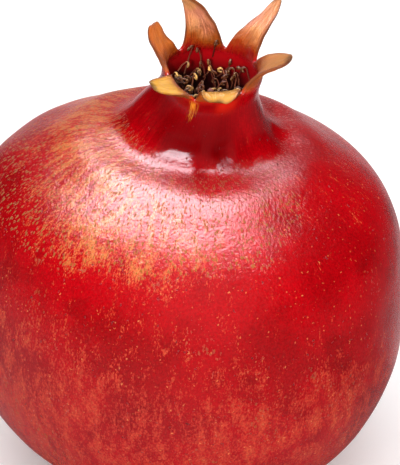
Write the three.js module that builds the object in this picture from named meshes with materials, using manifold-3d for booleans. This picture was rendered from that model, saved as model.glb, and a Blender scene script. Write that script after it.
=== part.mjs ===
// A whole ripe pomegranate standing on its stalk end, with the crown up.
// Millimetres, +Z up. The rind, the neck and the six sepals grew as one skin, so they are one solid.
// The tuft of dry stamens inside the crown and the stub of the cut stalk are solids of their own.

import * as THREE from 'three';
import { mergeVertices } from 'three/addons/utils/BufferGeometryUtils.js';
import Module from 'manifold-3d';

const wasm = await Module();
wasm.setup();

// ---------- Driving dimensions ----------

// The calyx: a thin tube above the neck that splits into six sepals at the notches.
const RIM_HEIGHT = 92.6;
const RIM_RADIUS = 10.1;
const RIM_WALL = 1.1;
const FLOOR_HEIGHT = 80;
const FLOOR_RADIUS = 7.4;
const TIP_WALL = 0.75;
const COLUMNS_PER_SEPAL = 9;
const SEPAL_ROWS = 8;
const SPINE_STEPS = 8;
const TIP_ROUNDING = { from: 0.7, amount: 0.7 };

// The inside of the calyx tube: how far down each ring is, as a share, and the floor's rounded edge.
const TUBE_DEPTHS = [0.3, 0.62, 0.88, 1];
const FLOOR_ROUNDING = 1.2;

// The rind's outline from the edge of the flat resting ring up to the neck, as [radius, height].
const REST_RADIUS = 13;
const BODY_OUTLINE = [
  [REST_RADIUS, 0], [20.4, 1.6], [28.2, 5.2], [35.3, 10.5], [41, 17.3], [44.9, 25.3], [46.7, 33.5],
  [47.1, 41], [46.6, 49.5], [44.9, 57.2], [41.5, 63.8], [36.4, 68.8], [30.3, 72.3], [24.8, 74.5],
  [20.2, 75.9], [16.7, 77.9], [14.1, 81], [12, 84], [10.5, 86.6], [9.8, 89.4], [RIM_RADIUS, RIM_HEIGHT],
];
const BODY_ROWS = 36;

// The dimple at the stalk end, inside the resting ring.
const RING_INNER_RADIUS = 7.5;
const DIMPLE_RADIUS = 5.5;
const DIMPLE_DEPTH = 3.2;
const DIMPLE_SLOPE = 0.6;
const SOCKET_RADIUS = 3.6;

// Slow swellings of the rind: how much (of the radius), how many round the fruit, where the first
// one is, and at what height they are strongest.
const SWELLINGS = [
  { amount: 0.011, count: 1, azimuth: 171, height: 64, spread: 22 },
  { amount: 0.008, count: 2, azimuth: -47, height: 64, spread: 22 },
  { amount: 0.008, count: 3, azimuth: 42, height: 64, spread: 22 },
  { amount: 0.008, count: 2, azimuth: -59, height: 42, spread: 30 },
  { amount: 0.009, count: 3, azimuth: 57, height: 42, spread: 30 },
  { amount: 0.006, count: 5, azimuth: 20, height: 50, spread: 30 },
  { amount: 0.005, count: 1, azimuth: -36, height: 20, spread: 18 },
  { amount: 0.010, count: 2, azimuth: -43, height: 20, spread: 18 },
];

// A rib below each sepal, from nothing at the low height to its full amount at the high one.
const RIBS = { amount: 0.010, from: 20, to: 80 };

// The columns of the skin are even below the first height and gathered to the sepals above the second.
const GATHER = { from: 55, to: 82 };

// The fruit leans over toward +X, and its crown a little more.
const LEANS = [
  { angle: 4.1, azimuth: -7, from: 12, to: 72, pivot: 30 },
  { angle: 11.0, azimuth: -61, from: 72.5, to: 88.5, pivot: 72.5 },
];

// Each sepal spans from one notch to the next (azimuths in degrees). It grows up from the rim by its
// length, tipped outward by the angles in lean at its base, middle and tip. sway shifts the tip
// sideways, twist turns it, cup hollows it, and curl rolls its first and last edge outward.
const SEPALS = [
  { from: -55, to: 27, notch: 1.0, length: 9.5, lean: [-8, 44, 50], sway: 0, twist: 0, cup: 0.5,
    curl: [0.15, 0.15], taper: 0.6, tip: 2.2 },
  { from: 27, to: 74, notch: 1.0, length: 13.8, lean: [9, 56, 48], sway: 0.6, twist: 29, cup: 0.2,
    curl: [0.3, 0.4], taper: 1.0, tip: 1.5 },
  { from: 74, to: 134, notch: -0.2, length: 13.2, lean: [0, 1, -22], sway: 5.8, twist: 40, cup: 0.5,
    curl: [0, 0.3], taper: 0.5, tip: 2.2 },
  { from: 134, to: 202, notch: -0.8, length: 8.5, lean: [11, 36, 10], sway: -0.6, twist: 28, cup: 0.1,
    curl: [0.3, 0.3], taper: 0.5, tip: 1.8 },
  { from: 202, to: 251, notch: 0, length: 5.0, lean: [42, 87, 93], sway: -3.2, twist: 26, cup: 0.1,
    curl: [-0.1, 0.2], taper: 0.5, tip: 1.6 },
  { from: 251, to: 305, notch: -1.2, length: 5.8, lean: [0, 58, 140], sway: -1, twist: 0, cup: 0.1,
    curl: [0.1, 0.2], taper: 1.4, tip: 3.0 },
];

// The dry stamens: filaments that stand on a pad on the calyx floor and end in curled anthers.
const GAP = 0.3;
const PAD_THICKNESS = 1.2;
const PAD_CROWN = 0.3;
const PAD_SIDES = 24;
const STAMEN_SEED = 7;
const WHORLS = [
  { count: 16, root: 5.1, tip: 7.0, low: 7.0, high: 10.6 },
  { count: 11, root: 3.4, tip: 4.3, low: 6.0, high: 9.0 },
  { count: 6, root: 1.9, tip: 2.2, low: 5.0, high: 7.5 },
];
const FILAMENT_RADIUS = 0.36;
const FILAMENT_BOW = 0.5;
const SPREAD = { spacing: 0.3, sideways: 0.9, turn: 1.1 };
const ANTHER_RADIUS = 0.42;
const ANTHER_TIP_RADIUS = 0.3;
const ANTHER_CURL_RADIUS = 0.7;
const ANTHER_TURNS = [60, 125, 190];
const STYLE_RADIUS = 0.9;
const STYLE_LENGTH = 7;
const STYLE_BOW = 0.5;

// The woody stub of the cut stalk, in its socket in the dimple.
const STUB_RADIUS = 2.9;
const STUB_LENGTH = 2.2;
const STUB_SIDES = 14;
const STUB_RIDGES = { count: 3, depth: 0.04, azimuth: 13 };

// ---------- Small helpers ----------

const radians = THREE.MathUtils.degToRad;
const lerp = THREE.MathUtils.lerp;
const smoothstep = THREE.MathUtils.smoothstep;
const columnCount = SEPALS.length * COLUMNS_PER_SEPAL;

function bend(point, lean) {
  const axis = new THREE.Vector3(-Math.sin(radians(lean.azimuth)), Math.cos(radians(lean.azimuth)), 0);
  const angle = radians(lean.angle) * smoothstep(point.z, lean.from, lean.to);
  point.z -= lean.pivot;
  point.applyAxisAngle(axis, angle);
  point.z += lean.pivot;
  return point;
}

function leanOver(point) {
  for (const lean of [...LEANS].reverse()) bend(point, lean);
  return point;
}

// Points and faces of one skin. Rows join in the order that they are added, seen from outside.
function newSkin() {
  return { points: [], faces: [] };
}

function addRow(skin, points) {
  const first = skin.points.length;
  skin.points.push(...points);
  return points.map((_, index) => first + index);
}

function joinRows(skin, row, next, { closed = true, mirrored = false } = {}) {
  const cells = closed ? row.length : row.length - 1;
  for (let i = 0; i < cells; i++) {
    const j = (i + 1) % row.length;
    if (mirrored) skin.faces.push([row[i], row[j], next[i]], [row[j], next[j], next[i]]);
    else skin.faces.push([row[i], row[j], next[j]], [row[i], next[j], next[i]]);
  }
}

function closeRow(skin, row, apexPoint, atEnd) {
  const [apex] = addRow(skin, [apexPoint]);
  for (let i = 0; i < row.length; i++) {
    const j = (i + 1) % row.length;
    skin.faces.push(atEnd ? [row[i], row[j], apex] : [row[j], row[i], apex]);
  }
}

function skinGeometry(skin) {
  const geometry = new THREE.BufferGeometry();
  const positions = skin.points.flatMap((point) => point.toArray());
  geometry.setAttribute('position', new THREE.Float32BufferAttribute(positions, 3));
  geometry.setIndex(skin.faces.flat());
  return geometry;
}

// ---------- The rind ----------

function notchAzimuth(column) {
  const sepal = SEPALS[Math.floor(column / COLUMNS_PER_SEPAL) % SEPALS.length];
  return lerp(sepal.from, sepal.to, (column % COLUMNS_PER_SEPAL) / COLUMNS_PER_SEPAL);
}

// Columns are evenly spread on the body and gather to the sepals at the neck.
function columnAzimuth(column, height) {
  const even = SEPALS[0].from + 360 * column / columnCount;
  return radians(lerp(even, notchAzimuth(column), smoothstep(height, GATHER.from, GATHER.to)));
}

function swelling(azimuth, height) {
  let reach = 1;
  for (const swell of SWELLINGS) {
    const strength = Math.exp(-Math.pow((height - swell.height) / swell.spread, 2));
    reach += swell.amount * strength * Math.cos(swell.count * (azimuth - radians(swell.azimuth)));
  }
  return reach;
}

// A shallow rib runs down the rind below each sepal, with a furrow below each notch.
function rib(column, height) {
  const along = (column % COLUMNS_PER_SEPAL) / COLUMNS_PER_SEPAL;
  const strength = smoothstep(height, RIBS.from, RIBS.to);
  return 1 - RIBS.amount * strength * Math.cos(2 * Math.PI * along);
}

// The notches between the sepals are cut a little deeper or shallower than the rim's own height.
function notchRise(column) {
  const index = Math.floor(column / COLUMNS_PER_SEPAL) % SEPALS.length;
  const next = SEPALS[(index + 1) % SEPALS.length];
  return lerp(SEPALS[index].notch, next.notch, (column % COLUMNS_PER_SEPAL) / COLUMNS_PER_SEPAL);
}

function rindPoint(column, radius, height) {
  const azimuth = columnAzimuth(column, height);
  const reach = radius * swelling(azimuth, height) * rib(column, height);
  const rise = notchRise(column) * smoothstep(height, FLOOR_HEIGHT, RIM_HEIGHT);
  return new THREE.Vector3(reach * Math.cos(azimuth), reach * Math.sin(azimuth), height + rise);
}

function ring(radius, height) {
  return Array.from({ length: columnCount }, (_, column) => rindPoint(column, radius, height));
}

function addBody(skin) {
  const outline = new THREE.SplineCurve(BODY_OUTLINE.map((point) => new THREE.Vector2(...point)));
  const dimple = [
    [SOCKET_RADIUS, DIMPLE_DEPTH], [DIMPLE_RADIUS, DIMPLE_DEPTH * DIMPLE_SLOPE], [RING_INNER_RADIUS, 0],
  ];
  const rows = dimple.map(([radius, height]) => addRow(skin, ring(radius, height)));
  closeRow(skin, rows[0], new THREE.Vector3(0, 0, DIMPLE_DEPTH), false);
  for (const point of outline.getPoints(BODY_ROWS)) rows.push(addRow(skin, ring(point.x, point.y)));
  for (let i = 1; i < rows.length; i++) joinRows(skin, rows[i - 1], rows[i]);
  return rows.at(-1);
}

// ---------- The calyx ----------

function quadratic([start, middle, end], t) {
  const bow = middle - (start + end) / 2;
  return lerp(start, end, t) + bow * 4 * t * (1 - t);
}

// The sepal's spine, from the middle of its base: how far out and up it has gone at each row.
function spine(sepal) {
  const steps = SEPAL_ROWS * SPINE_STEPS;
  const stations = [{ out: 0, up: 0, lean: radians(sepal.lean[0]) }];
  let out = 0;
  let up = 0;
  for (let i = 1; i <= steps; i++) {
    const lean = radians(quadratic(sepal.lean, (i - 0.5) / steps));
    out += Math.sin(lean) * sepal.length / steps;
    up += Math.cos(lean) * sepal.length / steps;
    if (i % SPINE_STEPS === 0) stations.push({ out, up, lean: radians(quadratic(sepal.lean, i / steps)) });
  }
  return stations;
}

function sepalPoint(sepal, stations, u, v) {
  const row = Math.min(Math.floor(v * SEPAL_ROWS), SEPAL_ROWS - 1);
  const t = v * SEPAL_ROWS - row;
  const out = lerp(stations[row].out, stations[row + 1].out, t);
  const up = lerp(stations[row].up, stations[row + 1].up, t);
  const lean = lerp(stations[row].lean, stations[row + 1].lean, t);

  const middle = radians((sepal.from + sepal.to) / 2);
  const halfSpan = radians((sepal.to - sepal.from) / 2);
  const wallRadius = RIM_RADIUS - RIM_WALL / 2;
  const baseWidth = wallRadius * Math.sin(halfSpan);
  const narrowing = lerp(baseWidth, sepal.tip, Math.pow(v, sepal.taper));
  const pastRounding = Math.max(0, (v - TIP_ROUNDING.from) / (1 - TIP_ROUNDING.from));
  const rounding = Math.sqrt(1 - TIP_ROUNDING.amount * pastRounding * pastRounding);
  const width = narrowing * rounding;
  const across = width * lerp(Math.sin(halfSpan * u) / Math.sin(halfSpan), u, v);
  const hollow = (width / baseWidth) * wallRadius * (1 - Math.cos(halfSpan * u)) * lerp(1, sepal.cup, v);
  const curl = v * (u < 0 ? sepal.curl[0] : sepal.curl[1]) * width * Math.pow(Math.abs(u), 3);
  const turn = radians(sepal.twist) * v;
  const proud = curl - hollow;
  const side = across * Math.cos(turn) - proud * Math.sin(turn) + sepal.sway * v * v;
  const forward = across * Math.sin(turn) + proud * Math.cos(turn);

  const radial = wallRadius + out + forward * Math.cos(lean);
  const next = SEPALS[(SEPALS.indexOf(sepal) + 1) % SEPALS.length];
  const rise = lerp(lerp(sepal.notch, next.notch, (u + 1) / 2), (sepal.notch + next.notch) / 2, v);
  const height = RIM_HEIGHT + rise + up - forward * Math.sin(lean);
  const outward = new THREE.Vector3(Math.cos(middle), Math.sin(middle), 0);
  const sideways = new THREE.Vector3(-Math.sin(middle), Math.cos(middle), 0);
  const point = outward.multiplyScalar(radial).addScaledVector(sideways, side);
  point.z = height;
  return point;
}

function sepalNormal(sepal, stations, edgeU, v) {
  const step = 0.01;
  const u = THREE.MathUtils.clamp(edgeU, -0.9, 0.9);
  const [left, right] = [u - step, u + step];
  const [low, high] = [Math.max(0, v - step), Math.min(1, v + step)];
  const alongU = sepalPoint(sepal, stations, right, v).sub(sepalPoint(sepal, stations, left, v));
  const alongV = sepalPoint(sepal, stations, u, high).sub(sepalPoint(sepal, stations, u, low));
  return alongU.cross(alongV).normalize();
}

function addSepal(skin, index, outerRim, innerRim) {
  const sepal = SEPALS[index];
  const stations = spine(sepal);
  const first = index * COLUMNS_PER_SEPAL;
  const columns = Array.from({ length: COLUMNS_PER_SEPAL + 1 }, (_, j) => (first + j) % columnCount);
  const outerRows = [columns.map((column) => outerRim[column])];
  const innerRows = [columns.map((column) => innerRim[column])];
  for (let i = 1; i <= SEPAL_ROWS; i++) {
    const v = i / SEPAL_ROWS;
    const wall = lerp(RIM_WALL, TIP_WALL, v);
    const faces = [1, -1].map((face) => columns.map((_, j) => {
      const u = 2 * j / COLUMNS_PER_SEPAL - 1;
      const normal = sepalNormal(sepal, stations, u, v);
      return sepalPoint(sepal, stations, u, v).addScaledVector(normal, face * wall / 2);
    }));
    outerRows.push(addRow(skin, faces[0]));
    innerRows.push(addRow(skin, faces[1]));
  }
  for (let i = 0; i < SEPAL_ROWS; i++) {
    joinRows(skin, outerRows[i], outerRows[i + 1], { closed: false });
    joinRows(skin, innerRows[i + 1], innerRows[i], { closed: false, mirrored: true });
  }
  joinRows(skin, outerRows[SEPAL_ROWS], innerRows[SEPAL_ROWS], { closed: false });
  const edge = (rows, j) => rows.map((row) => row[j]);
  joinRows(skin, edge(outerRows, 0), edge(innerRows, 0), { closed: false });
  joinRows(skin, edge(innerRows, COLUMNS_PER_SEPAL), edge(outerRows, COLUMNS_PER_SEPAL), { closed: false });
}

function addInside(skin, rim) {
  const rows = [rim];
  for (const depth of TUBE_DEPTHS) {
    const rounding = depth === 1 ? FLOOR_ROUNDING : 0;
    const radius = lerp(RIM_RADIUS - RIM_WALL, FLOOR_RADIUS, depth) - rounding;
    rows.push(addRow(skin, ring(radius, lerp(RIM_HEIGHT, FLOOR_HEIGHT, depth))));
  }
  for (let i = 1; i < rows.length; i++) joinRows(skin, rows[i - 1], rows[i]);
  closeRow(skin, rows.at(-1), new THREE.Vector3(0, 0, FLOOR_HEIGHT), true);
}

function makeFruit() {
  const skin = newSkin();
  const outerRim = addBody(skin);
  const innerRim = addRow(skin, ring(RIM_RADIUS - RIM_WALL, RIM_HEIGHT));
  SEPALS.forEach((_, index) => addSepal(skin, index, outerRim, innerRim));
  addInside(skin, innerRim);
  skin.points.forEach(leanOver);
  return skinGeometry(skin);
}

// ---------- The stamens ----------

// A repeatable stream of numbers between 0 and 1.
function seededRandom(seed) {
  let state = seed;
  return () => {
    state = (state * 16807) % 2147483647;
    return state / 2147483647;
  };
}

// A skin as a solid that can be joined to others, leaning as the fruit leans.
function solidOf(skin) {
  skin.points.forEach(leanOver);
  const merged = mergeVertices(skinGeometry(skin), 1e-5);
  const mesh = new wasm.Mesh({
    numProp: 3,
    vertProperties: new Float32Array(merged.attributes.position.array),
    triVerts: new Uint32Array(merged.index.array),
  });
  return new wasm.Manifold(mesh);
}

function geometryOf(solid) {
  const mesh = solid.getMesh();
  const geometry = new THREE.BufferGeometry();
  geometry.setAttribute('position', new THREE.Float32BufferAttribute(mesh.vertProperties, 3));
  geometry.setIndex(Array.from(mesh.triVerts));
  return geometry;
}

// A thin stalk swept along the points, as wide at each as its radius says.
function stalk(points, radii, sides) {
  const skin = newSkin();
  let normal = new THREE.Vector3(1, 0, 0);
  const rows = points.map((point, i) => {
    const ahead = points[Math.min(i + 1, points.length - 1)];
    const behind = points[Math.max(i - 1, 0)];
    const along = ahead.clone().sub(behind).normalize();
    normal = normal.clone().addScaledVector(along, -normal.dot(along)).normalize();
    const across = along.clone().cross(normal);
    return addRow(skin, Array.from({ length: sides }, (_, side) => {
      const angle = 2 * Math.PI * side / sides;
      return point.clone()
        .addScaledVector(normal, radii[i] * Math.cos(angle))
        .addScaledVector(across, radii[i] * Math.sin(angle));
    }));
  });
  for (let i = 1; i < rows.length; i++) joinRows(skin, rows[i - 1], rows[i]);
  closeRow(skin, rows[0], points[0].clone(), false);
  closeRow(skin, rows.at(-1), points.at(-1).clone(), true);
  return solidOf(skin);
}

function polar(radius, azimuth, height) {
  return new THREE.Vector3(radius * Math.cos(azimuth), radius * Math.sin(azimuth), height);
}

function makeStamen(whorl, index, random) {
  const azimuth = 2 * Math.PI * (index + SPREAD.spacing * random()) / whorl.count + whorl.root;
  const root = polar(whorl.root, azimuth, FLOOR_HEIGHT + GAP + PAD_THICKNESS / 2);
  const tipHeight = FLOOR_HEIGHT + lerp(whorl.low, whorl.high, random());
  const sideways = SPREAD.sideways * (random() - 0.5) / whorl.root;
  const tip = polar(whorl.tip, azimuth + sideways, tipHeight);
  const elbow = root.clone().lerp(tip, 0.5).add(polar(FILAMENT_BOW, azimuth + Math.PI * random(), 0));
  const points = new THREE.CatmullRomCurve3([root, elbow, tip]).getPoints(2);
  const radii = points.map(() => FILAMENT_RADIUS);

  // The anther curls over toward the middle of the calyx.
  const ahead = tip.clone().sub(elbow).normalize();
  const toMiddle = polar(-1, azimuth + lerp(-SPREAD.turn, SPREAD.turn, random()), 0);
  const inward = toMiddle.addScaledVector(ahead, -toMiddle.dot(ahead)).normalize();
  const centre = tip.clone().addScaledVector(inward, ANTHER_CURL_RADIUS);
  for (const turn of ANTHER_TURNS) {
    points.push(centre.clone()
      .addScaledVector(inward, -ANTHER_CURL_RADIUS * Math.cos(radians(turn)))
      .addScaledVector(ahead, ANTHER_CURL_RADIUS * Math.sin(radians(turn))));
    radii.push(turn < ANTHER_TURNS.at(-1) ? ANTHER_RADIUS : ANTHER_TIP_RADIUS);
  }
  return stalk(points, radii, 4);
}

// A turned skin through the [radius, height] rows, ending in a point on the axis below and above.
// ridge(angle) widens or narrows it round its girth.
function turned(outline, sides, bottom, top, ridge = () => 1) {
  const skin = newSkin();
  const angles = Array.from({ length: sides }, (_, side) => 2 * Math.PI * side / sides);
  const rows = outline.map(([radius, height]) => (
    addRow(skin, angles.map((angle) => polar(radius * ridge(angle), angle, height)))
  ));
  for (let i = 1; i < rows.length; i++) joinRows(skin, rows[i - 1], rows[i]);
  closeRow(skin, rows[0], new THREE.Vector3(0, 0, bottom), false);
  closeRow(skin, rows.at(-1), new THREE.Vector3(0, 0, top), true);
  return skin;
}

function makePad() {
  const low = FLOOR_HEIGHT + GAP;
  const top = low + PAD_THICKNESS;
  const radius = FLOOR_RADIUS - FLOOR_ROUNDING - GAP;
  const outline = [[radius, low], [radius, lerp(low, top, 0.6)], [radius * 0.8, top]];
  return solidOf(turned(outline, PAD_SIDES, low, top + PAD_CROWN));
}

function makeStyle() {
  const low = FLOOR_HEIGHT + GAP + PAD_THICKNESS / 2;
  const shares = [0, 0.5, 0.88, 1];
  const points = shares.map((share) => new THREE.Vector3(STYLE_BOW * share, 0, low + STYLE_LENGTH * share));
  const radii = [1, 0.6, 0.75, 0.4].map((share) => share * STYLE_RADIUS);
  return stalk(points, radii, 6);
}

function makeStamens() {
  const random = seededRandom(STAMEN_SEED);
  let tuft = makePad().add(makeStyle());
  for (const whorl of WHORLS) {
    for (let i = 0; i < whorl.count; i++) tuft = tuft.add(makeStamen(whorl, i, random));
  }
  return geometryOf(tuft);
}

// ---------- The stalk's stub ----------

function makeStub() {
  const top = DIMPLE_DEPTH - GAP;
  const low = top - STUB_LENGTH;
  const narrow = 0.85 * STUB_RADIUS;
  const outline = [[narrow, low], [STUB_RADIUS, low + 0.4], [0.93 * STUB_RADIUS, top - 0.3], [narrow, top]];
  const ridge = (angle) => {
    const wave = Math.cos(STUB_RIDGES.count * (angle - radians(STUB_RIDGES.azimuth)));
    return 1 + STUB_RIDGES.depth * (wave - 1);
  };
  return skinGeometry(turned(outline, STUB_SIDES, low, top, ridge));
}

// ---------- The whole ----------

function addPiece(group, name, geometry, color, roughness) {
  const mesh = new THREE.Mesh(geometry, new THREE.MeshStandardMaterial({ color, roughness, metalness: 0 }));
  mesh.name = name;
  group.add(mesh);
  return mesh;
}

const pomegranate = new THREE.Group();
addPiece(pomegranate, 'fruit', makeFruit(), 0xb3141b, 0.35);
addPiece(pomegranate, 'stamens', makeStamens(), 0xb08a52, 0.8);
addPiece(pomegranate, 'stem_stub', makeStub(), 0x7a5a3a, 0.85);

// The fruit stands with the middle of its footprint on the origin.
const footprint = new THREE.Box3().setFromObject(pomegranate).getCenter(new THREE.Vector3());
pomegranate.position.set(-footprint.x, -footprint.y, 0);

export default pomegranate;
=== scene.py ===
"""A whole ripe pomegranate on a pale floor, dressed over its solids. Lengths are millimetres until
a mesh is made, and metres from there on."""

import math
import random

import bpy
import numpy as np
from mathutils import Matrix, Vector, noise


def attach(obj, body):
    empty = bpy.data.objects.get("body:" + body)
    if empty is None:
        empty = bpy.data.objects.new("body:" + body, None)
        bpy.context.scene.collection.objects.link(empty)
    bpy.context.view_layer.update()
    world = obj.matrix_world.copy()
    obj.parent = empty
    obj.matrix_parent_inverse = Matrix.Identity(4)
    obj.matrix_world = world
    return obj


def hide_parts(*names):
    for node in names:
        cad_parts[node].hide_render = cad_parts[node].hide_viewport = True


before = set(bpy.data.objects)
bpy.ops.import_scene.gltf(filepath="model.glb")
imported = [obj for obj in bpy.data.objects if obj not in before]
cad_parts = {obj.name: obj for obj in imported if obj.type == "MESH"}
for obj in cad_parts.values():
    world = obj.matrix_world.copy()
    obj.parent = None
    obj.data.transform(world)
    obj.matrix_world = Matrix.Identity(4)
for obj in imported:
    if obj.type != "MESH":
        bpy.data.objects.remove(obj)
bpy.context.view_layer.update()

# ---------- The fruit's own measures ----------

MM = 0.001
# moves the leaning fruit until the middle of its box stands over the origin
FOOTPRINT_SHIFT = (0.3687, 0.0126)

RIM_HEIGHT = 92.6
RIM_RADIUS = 10.1
RIM_WALL = 1.1
FLOOR_HEIGHT = 80.0
FLOOR_RADIUS = 7.4
FLOOR_ROUNDING = 1.2
TUBE_DEPTH = RIM_HEIGHT - FLOOR_HEIGHT
TIP_WALL = 0.75
TIP_ROUNDING_FROM, TIP_ROUNDING = 0.7, 0.7

# radius and height, from the flat spot it rests on up to the rim
BODY_OUTLINE = [
    (13, 0), (20.4, 1.6), (28.2, 5.2), (35.3, 10.5), (41, 17.3), (44.9, 25.3), (46.7, 33.5),
    (47.1, 41), (46.6, 49.5), (44.9, 57.2), (41.5, 63.8), (36.4, 68.8), (30.3, 72.7), (25.1, 75.8),
    (21.0, 76.7), (17.8, 77.3), (15.2, 79.1), (13.4, 81.8), (12.0, 84.3), (10.6, 86.8), (9.8, 89.4),
    (RIM_RADIUS, RIM_HEIGHT),
]
# radius and height, from the bottom of the stalk's dimple out to the flat spot
DIMPLE_OUTLINE = [
    (1.2, 3.2), (2.6, 3.2), (3.6, 3.15), (4.6, 2.6), (5.5, 1.9), (6.6, 0.7), (7.5, 0.05), (9.2, 0),
]
DIMPLE_DEPTH = 3.2
DIMPLE_RADIUS = 12
MIDDLE_HEIGHT = 42
LOW_HEIGHT = 20
RESTING_EDGE = (13.5, 22)
NECK_FOOT = (72, 78)
NECK_CALM = 0.75

# folds that pucker the skin round the stalk: how many, how high, and the radii they grow in between
PUCKER_FOLDS, PUCKER_HEIGHT, PUCKER_RADII = 17, 0.16, (3.6, 5)

# amount, count round the fruit, azimuth of the first, height where strongest, spread of heights
SWELLINGS = [
    (0.011, 1, 171, 64, 22), (0.008, 2, -47, 64, 22), (0.008, 3, 42, 64, 22), (0.008, 2, -59, 42, 30),
    (0.009, 3, 57, 42, 30), (0.006, 5, 20, 50, 30), (0.005, 1, -36, 20, 18), (0.010, 2, -43, 20, 18),
]
# Soft lobes round the neck's foot, on the shoulder and low on the right: azimuth and half width in
# degrees, height and its spread, and how far the skin is pushed out, or drawn in where negative.
SOFT_LOBES = [
    (-108, 15, 78.6, 1.5, 0.2), (-108, 15, 81.6, 2.2, -0.95), (-103, 45, 77.0, 0.9, -0.35),
    (-70, 8, 81.4, 2.0, -0.95), (-85, 6, 78.0, 1.5, -0.6), (-146, 20, 77.6, 1.5, -0.2),
    (-28, 14, 78.5, 2.6, 0.5), (14, 12, 78, 2.8, 0.6), (52, 13, 78, 2.8, 0.5),
    (138, 17, 69.5, 4.5, 0.75), (103, 24, 71.5, 4.0, -1.2), (-38, 26, 11, 7, 1.2),
]
LOBE_OUT, LOBE_UP, LOBE_DOWN = 0.7, 0.7, -0.4
# amount, size and seed of the lumps in the rind
RIND_LUMPS = [(0.30, 17.0, 1), (0.10, 6.0, 2), (0.035, 2.2, 4)]
LUMP_FLATTENING = 0.9
RIB_AMOUNT, RIB_FROM, RIB_TO = 0.010, 20, 80
GATHER_FROM, GATHER_TO = 55, 82

# azimuth, width and the depth below the rim where the gold of a notch and the warm bulge fade out
GOLDEN_SPLIT, SPLIT_WIDTH, SPLIT_DEPTH = 250, 6, 7.5
WARM_BULGE, BULGE_WIDTH, BULGE_DEPTH = 290, 13, 4.5

# angle, azimuth, from height, to height, pivot height
LEANS = [(4.1, -7, 12, 72, 30), (11.0, -61, 72.5, 88.5, 72.5)]

# Start and end are azimuths; lean is from upright, at the base, the middle and the tip; tip is half
# the width there; dry and gold say how far it has turned orange and golden.
SEPALS = [
    dict(start=-55, end=27, notch=1.0, length=9.5, lean=(-8, 44, 50), sway=0, twist=0, cup=0.5,
         curl=(0.15, 0.15), taper=0.6, tip=2.2, dry=0.45, gold=0.25),
    dict(start=27, end=74, notch=1.0, length=13.8, lean=(9, 56, 48), sway=0.6, twist=29, cup=0.2,
         curl=(0.3, 0.4), taper=1.0, tip=1.5, dry=0.25, gold=0.0),
    dict(start=74, end=134, notch=-0.2, length=13.2, lean=(0, 1, -22), sway=5.8, twist=40, cup=0.5,
         curl=(0, 0.3), taper=0.5, tip=2.2, dry=0.15, gold=0.0),
    dict(start=134, end=202, notch=-0.8, length=8.5, lean=(11, 36, 10), sway=-0.6, twist=28, cup=0.1,
         curl=(0.3, 0.3), taper=0.5, tip=1.8, dry=0.9, gold=0.0),
    dict(start=202, end=251, notch=0, length=5.0, lean=(42, 87, 93), sway=-3.2, twist=26, cup=0.1,
         curl=(-0.1, 0.2), taper=0.5, tip=1.6, dry=0.6, gold=1.0),
    dict(start=251, end=305, notch=-1.2, length=5.8, lean=(0, 58, 140), sway=-1, twist=0, cup=0.1,
         curl=(0.1, 0.2), taper=1.4, tip=3.0, dry=0.6, gold=0.8),
]
SEPAL_COLUMNS = 20
SEPAL_ROWS = 22
SPINE_STEPS = 128
EDGE_THINNING = 0.4
EDGE_WAVE, FACE_WAVE = 0.30, 0.16
RIDGE_HEIGHT, RIDGE_FREQUENCY = 0.045, 19
COLUMNS = SEPAL_COLUMNS * len(SEPALS)
BODY_ROWS = 96
TUBE_ROWS = 12

# the radius at which the streaks' coordinates wrap round, and how far they run on inside the tube
STREAK_RADIUS = 45
TUBE_STREAKS = 12

# ---------- Small helpers ----------


def lerp(a, b, t):
    return a + (b - a) * t


def smoothstep(x, low, high):
    t = np.clip((np.asarray(x, float) - low) / (high - low), 0, 1)
    return t * t * (3 - 2 * t)


def degrees_from(azimuths, centre):
    """How far the azimuths are from the centre, from -180 to 180 degrees."""
    return (azimuths - centre + 180) % 360 - 180


def even_angles(count):
    return np.arange(count) * 2 * math.pi / count


def around(reach, azimuths, height):
    """Points round the axis, one for each azimuth."""
    x, y = reach * np.cos(azimuths), reach * np.sin(azimuths)
    return np.stack(np.broadcast_arrays(x, y, height), -1)


def bend(points, lean):
    angle, azimuth, low, high, pivot = lean
    axis = np.array([-math.sin(math.radians(azimuth)), math.cos(math.radians(azimuth)), 0.0])
    turn = math.radians(angle) * smoothstep(points[:, 2], low, high)
    c, s = np.cos(turn)[:, None], np.sin(turn)[:, None]
    p = points - [0, 0, pivot]
    along = (p @ axis)[:, None] * axis
    return p * c + np.cross(np.broadcast_to(axis, p.shape), p) * s + along * (1 - c) + [0, 0, pivot]


def lean_over(points):
    points = np.asarray(points, float)
    for lean in reversed(LEANS):
        points = bend(points, lean)
    return points


def spline(points, count):
    """Points along a uniform Catmull-Rom curve."""
    p = np.array(points, float)
    last = len(p) - 1
    made = []
    for q in np.linspace(0, last, count):
        i = min(int(q), last - 1)
        t = q - i
        a, b, c, d = p[max(i - 1, 0)], p[i], p[i + 1], p[min(i + 2, last)]
        v0, v1 = (c - a) / 2, (d - b) / 2
        made.append((2 * b - 2 * c + v0 + v1) * t**3 + (3 * c - 3 * b - 2 * v0 - v1) * t**2 + v0 * t + b)
    return np.array(made)


def eased(curve, passes):
    """The curve with its small kinks smoothed out, both ends kept."""
    for _ in range(passes):
        curve[1:-1] = (curve[:-2] + 2 * curve[1:-1] + curve[2:]) / 4
    return curve


def bumpy(point, scale, seed):
    return noise.noise(Vector(point) / scale + Vector((seed, 2.3 * seed, -seed)))


def add_object(name, data):
    made = bpy.data.objects.new(name, data)
    bpy.context.scene.collection.objects.link(made)
    return made


# ---------- A mesh with its painted attributes ----------


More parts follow.
